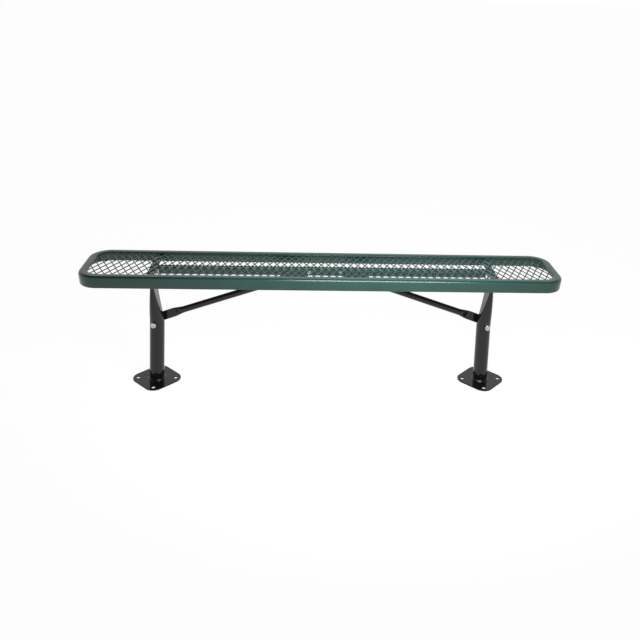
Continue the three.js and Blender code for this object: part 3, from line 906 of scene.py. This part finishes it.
def build_nut(side, joint):
    """Hex nut with both ends chamfered and a countersunk bore."""
    node = f"{side}_{joint}_nut"
    spec = HARDWARE[joint]
    low, high, center = box_of(node)
    frame_axes = axes_of(spec["axis"])
    half = abs((high - low).dot(frame_axes[0])) / 2
    flats, is_turned = spec["flats"], spec["turned"] == "nut"
    bore = spec["radius"] + NUT_CLEARANCE
    levels = [(half - NUT_SINK, bore), (half, bore + NUT_SINK)]
    levels += hex_end(half, -1, flats, is_turned)
    levels += reversed(hex_end(-half, 1, flats, is_turned))
    levels += [(-half, bore + NUT_SINK), (NUT_SINK - half, bore)]
    rings = rings_at(center, frame_axes, levels)
    nut = mesh_object(f"{node}_plated", *loft(rings, loop=True), smooth_angle=HARDWARE_SMOOTH)
    return place(nut, node, ZINC)


def build_washer(side, joint):
    """Punched flat washer: one edge rolled over, the other crisp."""
    node = f"{side}_{joint}_washer"
    spec = HARDWARE[joint]
    low, high, center = box_of(node)
    frame_axes = axes_of(spec["axis"])
    half = abs((high - low).dot(frame_axes[0])) / 2
    outer = (high.z - low.z) / 2
    bore = spec["radius"] + WASHER_CLEARANCE
    roll, burr = WASHER_ROLL, WASHER_BURR
    levels = [(half, outer - roll), (half - 0.3 * roll, outer - 0.3 * roll), (half - roll, outer),
              (burr - half, outer), (-half, outer - burr), (-half, bore + burr),
              (burr - half, bore), (half - roll, bore), (half, bore + roll)]
    rings = rings_at(center, frame_axes, levels)
    washer = mesh_object(f"{node}_plated", *loft(rings, loop=True), smooth_angle=50)
    return place(washer, node, ZINC)


# ---------------------------------------------------------------- the bench

build_rim()
build_expanded_metal()
build_center_angle()
for side_name in ("left", "right"):
    build_cross_angle(side_name)
    build_leg(side_name)
    build_brace(side_name)
    build_foot_plate(side_name)
    build_foot_weld(side_name)
    for joint_name in HARDWARE:
        build_bolt(side_name, joint_name)
        build_washer(side_name, joint_name)
        build_nut(side_name, joint_name)


# ---------------------------------------------------------------- floor, light and camera

FLOOR_HALF = 40.0
FLOOR_DROP = 0.3 * MM
FLOOR_GLOW = 0.97
FLOOR_GREY = 0.16
DIFFUSE_SHARE = 0.03
# The backdrop fades from its low to its high brightness while the direction's Z goes from start to end.
BACKDROP_LOW = 0.90
BACKDROP_HIGH = 0.10
FADE_START = 0.42
FADE_END = 0.70


def rays_reduced(tree, strength):
    """A strength that drops for diffuse rays, so that the white surroundings are mirrored in full while the
    soft box shapes the coating's colour."""
    path = tree.nodes.new("ShaderNodeLightPath")
    drop = tree.nodes.new("ShaderNodeMapRange")
    tree.links.new(path.outputs["Is Diffuse Ray"], drop.inputs["Value"])
    drop.inputs["To Min"].default_value = strength
    drop.inputs["To Max"].default_value = strength * DIFFUSE_SHARE
    return drop.outputs["Result"]


def build_floor():
    """A pale floor with a faint contact shadow. It is clear from below, to show the bench's underside."""
    corners = [(-FLOOR_HALF, -FLOOR_HALF), (FLOOR_HALF, -FLOOR_HALF), (FLOOR_HALF, FLOOR_HALF),
               (-FLOOR_HALF, FLOOR_HALF)]
    mesh = bpy.data.meshes.new("floor")
    mesh.from_pydata([(x, y, -FLOOR_DROP) for x, y in corners], [], [(0, 1, 2, 3)])
    floor = bpy.data.objects.new("floor", mesh)
    bpy.context.scene.collection.objects.link(floor)
    s = Shader("pale_floor")
    s.set(Base_Color=(FLOOR_GREY, FLOOR_GREY, FLOOR_GREY, 1.0), Roughness=1.0, Specular_IOR_Level=0.0)
    glow = s.add("ShaderNodeEmission")
    s.join(rays_reduced(s.tree, FLOOR_GLOW), glow.inputs["Strength"])
    both = s.add("ShaderNodeAddShader")
    s.join(s.surface.outputs["BSDF"], both.inputs[0])
    s.join(glow.outputs["Emission"], both.inputs[1])
    choose = s.add("ShaderNodeMixShader")
    s.join(s.add("ShaderNodeNewGeometry").outputs["Backfacing"], choose.inputs["Fac"])
    s.join(both.outputs["Shader"], choose.inputs[1])
    s.join(s.add("ShaderNodeBsdfTransparent").outputs["BSDF"], choose.inputs[2])
    s.join(choose.outputs["Shader"], s.output.inputs["Surface"])
    mesh.materials.append(s.material)


def build_world():
    """White to the camera. In reflections it is a grey backdrop that darkens towards the ceiling."""
    world = bpy.data.worlds.new("studio")
    bpy.context.scene.world = world
    world.use_nodes = True
    tree = world.node_tree
    tree.nodes.clear()
    output = tree.nodes.new("ShaderNodeOutputWorld")
    seen = tree.nodes.new("ShaderNodeBackground")
    seen.inputs["Color"].default_value = (1, 1, 1, 1)
    lit = tree.nodes.new("ShaderNodeBackground")
    direction = tree.nodes.new("ShaderNodeTexCoord")
    parts = tree.nodes.new("ShaderNodeSeparateXYZ")
    tree.links.new(direction.outputs["Generated"], parts.inputs["Vector"])
    fade = tree.nodes.new("ShaderNodeMapRange")
    fade.interpolation_type = "SMOOTHSTEP"
    tree.links.new(parts.outputs["Z"], fade.inputs["Value"])
    fade.inputs["From Min"].default_value = FADE_START
    fade.inputs["From Max"].default_value = FADE_END
    fade.inputs["To Min"].default_value = BACKDROP_LOW
    fade.inputs["To Max"].default_value = BACKDROP_HIGH
    tree.links.new(fade.outputs["Result"], lit.inputs["Color"])
    tree.links.new(rays_reduced(tree, 1.0), lit.inputs["Strength"])
    path = tree.nodes.new("ShaderNodeLightPath")
    choose = tree.nodes.new("ShaderNodeMixShader")
    tree.links.new(path.outputs["Is Camera Ray"], choose.inputs["Fac"])
    tree.links.new(lit.outputs["Background"], choose.inputs[1])
    tree.links.new(seen.outputs["Background"], choose.inputs[2])
    tree.links.new(choose.outputs["Shader"], output.inputs["Surface"])


# A wide soft box in front of the seat and above it, aimed at the rim right of the middle.
KEY_AT = Vector((0.28, -0.86, 1.12))
KEY_AIM = Vector((0.27, -0.14, 0.40))
KEY_WIDTH = 0.80
KEY_HEIGHT = 0.46
KEY_POWER = 6.8
KEY_SPREAD = 105


def build_key_light():
    """A rectangular lamp behind a grid, which lets light out within the spread, in degrees."""
    light = bpy.data.lights.new("key", "AREA")
    light.spread = math.radians(KEY_SPREAD)
    light.shape = "RECTANGLE"
    light.size = KEY_WIDTH
    light.size_y = KEY_HEIGHT
    light.energy = KEY_POWER
    lamp = bpy.data.objects.new("key", light)
    bpy.context.scene.collection.objects.link(lamp)
    lamp.location = KEY_AT
    lamp.rotation_mode = "QUATERNION"
    lamp.rotation_quaternion = (KEY_AIM - KEY_AT).to_track_quat("-Z", "Y")


# The camera's place and turn at the viewing angle of the reference view. The lens is shifted, because the
# bench sits low and left of the optical axis.
CAMERA_AT = Vector((-0.10476, -2.85969, 1.62113))
CAMERA_YAW = 0.0758
CAMERA_PITCH = 0.1485
CAMERA_ROLL = -0.0429
CAMERA_SENSOR = 36
CAMERA_LENS = 43.48
CAMERA_SHIFT = {"shift_x": -0.0654, "shift_y": -0.3706}
CAMERA_SLACK = 0.0001


def build_camera():
    data = bpy.data.cameras.new("camera")
    camera = bpy.data.objects.new("camera", data)
    bpy.context.scene.collection.objects.link(camera)
    bpy.context.scene.camera = camera
    data.sensor_width = CAMERA_SENSOR
    data.lens = CAMERA_LENS
    data.clip_end = 5 * FLOOR_HALF
    forward = Vector((math.sin(CAMERA_YAW) * math.cos(CAMERA_PITCH),
                      math.cos(CAMERA_YAW) * math.cos(CAMERA_PITCH), -math.sin(CAMERA_PITCH)))
    level = Vector((math.cos(CAMERA_YAW), -math.sin(CAMERA_YAW), 0))
    down = forward.cross(level)
    right = level * math.cos(CAMERA_ROLL) + down * math.sin(CAMERA_ROLL)
    up = -(down * math.cos(CAMERA_ROLL) - level * math.sin(CAMERA_ROLL))
    turn = Matrix((right, up, -forward)).transposed()
    camera.rotation_mode = "QUATERNION"
    camera.rotation_quaternion = turn.to_quaternion()
    camera.location = CAMERA_AT
    for path, shift in CAMERA_SHIFT.items():
        shift_while_in_place(camera, path, shift)


def shift_while_in_place(camera, path, shift):
    """Drives the lens shift so that it holds only while the camera stands at its own place. A camera that is
    moved round the bench looks straight at it."""
    driver = camera.data.driver_add(path).driver
    driver.type = "SCRIPTED"
    variable = driver.variables.new()
    variable.name = "x"
    variable.type = "TRANSFORMS"
    variable.targets[0].id = camera
    variable.targets[0].transform_type = "LOC_X"
    variable.targets[0].transform_space = "WORLD_SPACE"
    driver.expression = f"{shift} if abs(x - ({CAMERA_AT.x})) < {CAMERA_SLACK} else 0.0"


build_floor()
build_world()
build_key_light()
build_camera()
scene = bpy.context.scene
scene.view_settings.view_transform = "Standard"
scene.view_settings.look = "None"
